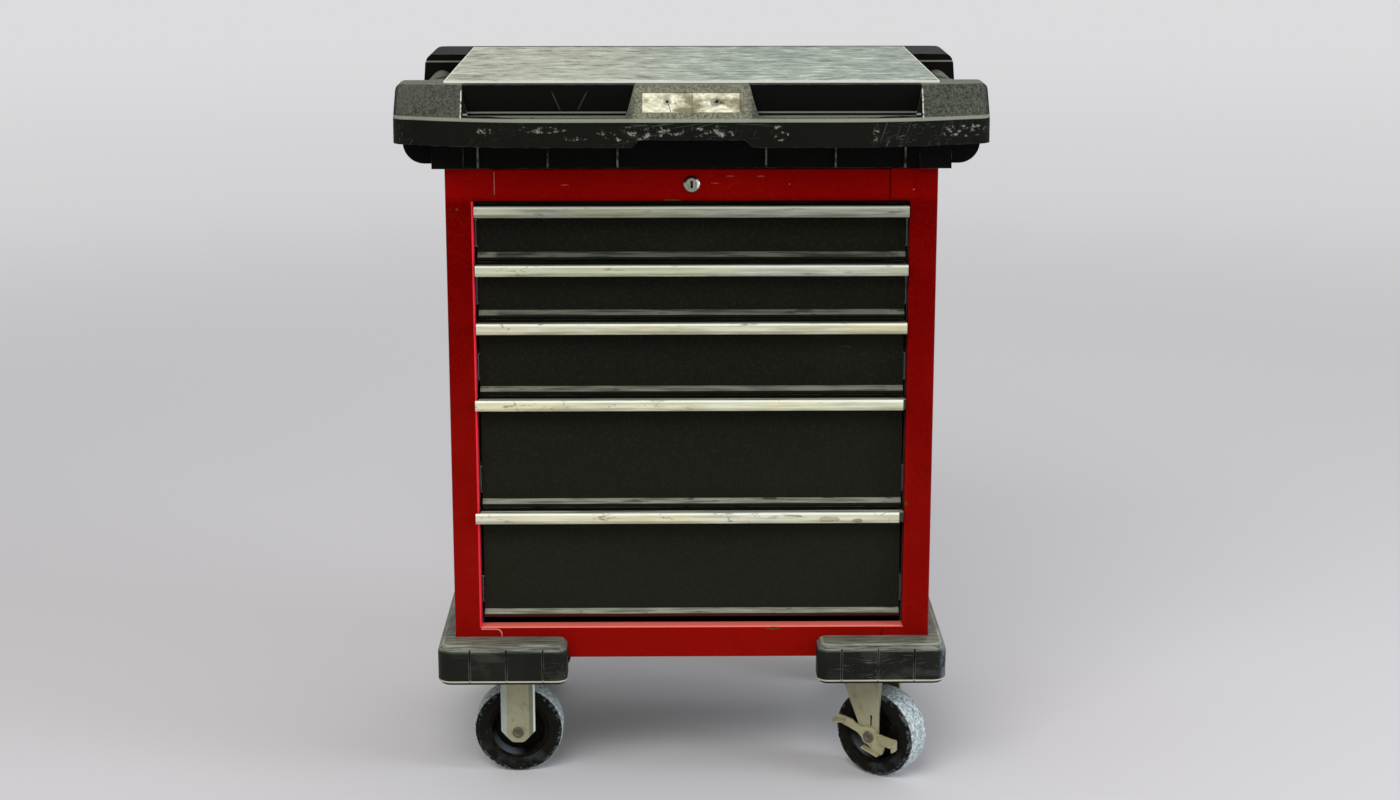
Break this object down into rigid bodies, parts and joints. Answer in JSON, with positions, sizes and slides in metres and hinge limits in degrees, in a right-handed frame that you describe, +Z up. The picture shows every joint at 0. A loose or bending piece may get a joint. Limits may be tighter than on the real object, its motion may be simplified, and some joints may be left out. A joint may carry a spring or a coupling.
{
  "type": "rolling tool cabinet",
  "caption": "Sheet steel tool cabinet on castors, with full-width drawers, a moulded top tray with worktop and side grips, and corner bumpers.",
  "frame": {"origin": "on the floor under the middle of the top tray, which is the widest and deepest piece", "axes": "+Z up, +Y from the drawers to the back, +X to the right as seen from the drawers"},
  "size_m": [0.78, 0.588, 0.986],
  "materials": {
    "red_enamel": "gloss red enamel with fine scratches and chips",
    "black_enamel": "black enamel, dusty",
    "drawer_enamel": "satin black-green enamel on folded steel, dusty and scuffed",
    "galvanised": "dull zinc-coated sheet",
    "slide_steel": "zinc-plated rolled steel",
    "tray_plastic": "stippled black moulding, worn grey at the edges",
    "worktop_laminate": "greenish grey laminate, stained and scratched",
    "grip_rubber": "ribbed black rubber, grey with wear",
    "bumper_plastic": "black moulding, scuffed grey",
    "lock_chrome": "bright chrome plating",
    "handle_plastic": "black extruded plastic",
    "handle_aluminium": "brushed and scuffed, creamy with dirt",
    "castor_zinc": "yellowish zinc plating with dull patches",
    "bolt_steel": "plated bolts, dirty in the recesses",
    "tyre_rubber": "worn rubber, dusty tread",
    "hub_plastic": "grey-black nylon centre, dusty"
  },
  "bodies": {
    "cabinet": {"side_panel_left": "red_enamel", "side_panel_right": "red_enamel", "back_panel": "red_enamel", "top_rail": "red_enamel", "bottom_rail": "red_enamel", "bottom_pan": "black_enamel", "castor_channels": "black_enamel", "top_deck": "black_enamel", "slide_uprights": "galvanised", "cabinet_slides": "slide_steel", "top_tray": "tray_plastic", "worktop_panel": "worktop_laminate", "side_grips": "grip_rubber", "bumper_left": "bumper_plastic", "bumper_right": "bumper_plastic", "lock_housing": "lock_chrome", "fixed_brackets": "castor_zinc", "swivel_plates": "castor_zinc", "castor_bolts": "bolt_steel"},
    "drawer_1_body": {"drawer_1": "drawer_enamel", "handle_base_1": "handle_plastic", "handle_cover_1": "handle_aluminium", "drawer_slides_1": "slide_steel"},
    "middle_1_body": {"middle_slides_1": "slide_steel"},
    "drawer_2_body": {"drawer_2": "drawer_enamel", "handle_base_2": "handle_plastic", "handle_cover_2": "handle_aluminium", "drawer_slides_2": "slide_steel"},
    "middle_2_body": {"middle_slides_2": "slide_steel"},
    "drawer_3_body": {"drawer_3": "drawer_enamel", "handle_base_3": "handle_plastic", "handle_cover_3": "handle_aluminium", "drawer_slides_3": "slide_steel"},
    "middle_3_body": {"middle_slides_3": "slide_steel"},
    "drawer_4_body": {"drawer_4": "drawer_enamel", "handle_base_4": "handle_plastic", "handle_cover_4": "handle_aluminium", "drawer_slides_4": "slide_steel"},
    "middle_4_body": {"middle_slides_4": "slide_steel"},
    "drawer_5_body": {"drawer_5": "drawer_enamel", "handle_base_5": "handle_plastic", "handle_cover_5": "handle_aluminium", "drawer_slides_5": "slide_steel"},
    "middle_5_body": {"middle_slides_5": "slide_steel"},
    "wheel_front_left": {"tyre_front_left": "tyre_rubber", "hub_front_left": "hub_plastic"},
    "wheel_rear_left": {"tyre_rear_left": "tyre_rubber", "hub_rear_left": "hub_plastic"},
    "fork_front": {"swivel_fork_front": "castor_zinc", "swivel_axle_front": "bolt_steel"},
    "wheel_front_right": {"tyre_front_right": "tyre_rubber", "hub_front_right": "hub_plastic"},
    "brake": {"brake_lever": "castor_zinc"},
    "fork_rear": {"swivel_fork_rear": "castor_zinc", "swivel_axle_rear": "bolt_steel"},
    "wheel_rear_right": {"tyre_rear_right": "tyre_rubber", "hub_rear_right": "hub_plastic"},
    "lock_core": {"lock_plug": "lock_chrome", "lock_rod": "slide_steel"},
    "lock_slider": {"lock_bar": "galvanised"}
  },
  "joints": [
    {"name": "drawer_1_slide", "type": "slide", "parent": "cabinet", "child": "drawer_1_body", "axis": [0, -1, 0], "range_m": [0, 0.38]},
    {"name": "middle_1_slide", "type": "slide", "parent": "cabinet", "child": "middle_1_body", "axis": [0, -1, 0], "range_m": [0, 0.19]},
    {"name": "drawer_2_slide", "type": "slide", "parent": "cabinet", "child": "drawer_2_body", "axis": [0, -1, 0], "range_m": [0, 0.38]},
    {"name": "middle_2_slide", "type": "slide", "parent": "cabinet", "child": "middle_2_body", "axis": [0, -1, 0], "range_m": [0, 0.19]},
    {"name": "drawer_3_slide", "type": "slide", "parent": "cabinet", "child": "drawer_3_body", "axis": [0, -1, 0], "range_m": [0, 0.38]},
    {"name": "middle_3_slide", "type": "slide", "parent": "cabinet", "child": "middle_3_body", "axis": [0, -1, 0], "range_m": [0, 0.19]},
    {"name": "drawer_4_slide", "type": "slide", "parent": "cabinet", "child": "drawer_4_body", "axis": [0, -1, 0], "range_m": [0, 0.38]},
    {"name": "middle_4_slide", "type": "slide", "parent": "cabinet", "child": "middle_4_body", "axis": [0, -1, 0], "range_m": [0, 0.19]},
    {"name": "drawer_5_slide", "type": "slide", "parent": "cabinet", "child": "drawer_5_body", "axis": [0, -1, 0], "range_m": [0, 0.38]},
    {"name": "middle_5_slide", "type": "slide", "parent": "cabinet", "child": "middle_5_body", "axis": [0, -1, 0], "range_m": [0, 0.19]},
    {"name": "wheel_front_left_spin", "type": "hinge", "parent": "cabinet", "child": "wheel_front_left", "pos_m": [-0.245, -0.144, 0.0625], "axis": [0, 1, 0], "continuous": true},
    {"name": "wheel_rear_left_spin", "type": "hinge", "parent": "cabinet", "child": "wheel_rear_left", "pos_m": [-0.245, 0.195, 0.0625], "axis": [0, 1, 0], "continuous": true},
    {"name": "fork_front_swivel", "type": "hinge", "parent": "cabinet", "child": "fork_front", "pos_m": [0.232, -0.144, 0.145], "axis": [0, 0, 1], "continuous": true},
    {"name": "wheel_front_right_spin", "type": "hinge", "parent": "fork_front", "child": "wheel_front_right", "pos_m": [0.2676, -0.16986, 0.0625], "axis": [0.5878, 0.809, 0], "continuous": true},
    {"name": "brake_press", "type": "hinge", "parent": "fork_front", "child": "brake", "pos_m": [0.2676, -0.16986, 0.0625], "axis": [0.5878, 0.809, 0], "range_deg": [0, 25]},
    {"name": "fork_rear_swivel", "type": "hinge", "parent": "cabinet", "child": "fork_rear", "pos_m": [0.232, 0.195, 0.145], "axis": [0, 0, 1], "continuous": true},
    {"name": "wheel_rear_right_spin", "type": "hinge", "parent": "fork_rear", "child": "wheel_rear_right", "pos_m": [0.27385, 0.2086, 0.0625], "axis": [-0.309, 0.9511, 0], "continuous": true},
    {"name": "key_turn", "type": "hinge", "parent": "cabinet", "child": "lock_core", "pos_m": [0, -0.19, 0.8455], "axis": [0, 1, 0], "range_deg": [0, 90]},
    {"name": "lock_bar_slide", "type": "slide", "parent": "cabinet", "child": "lock_slider", "axis": [0, 0, -1], "range_m": [0, 0.012]}
  ],
  "couplings": [
    {"joint": "middle_1_slide", "follows": "drawer_1_slide", "ratio": 0.5},
    {"joint": "middle_2_slide", "follows": "drawer_2_slide", "ratio": 0.5},
    {"joint": "middle_3_slide", "follows": "drawer_3_slide", "ratio": 0.5},
    {"joint": "middle_4_slide", "follows": "drawer_4_slide", "ratio": 0.5},
    {"joint": "middle_5_slide", "follows": "drawer_5_slide", "ratio": 0.5},
    {"joint": "key_turn", "follows": "lock_bar_slide", "rad_per_m": 130.9}
  ]
}
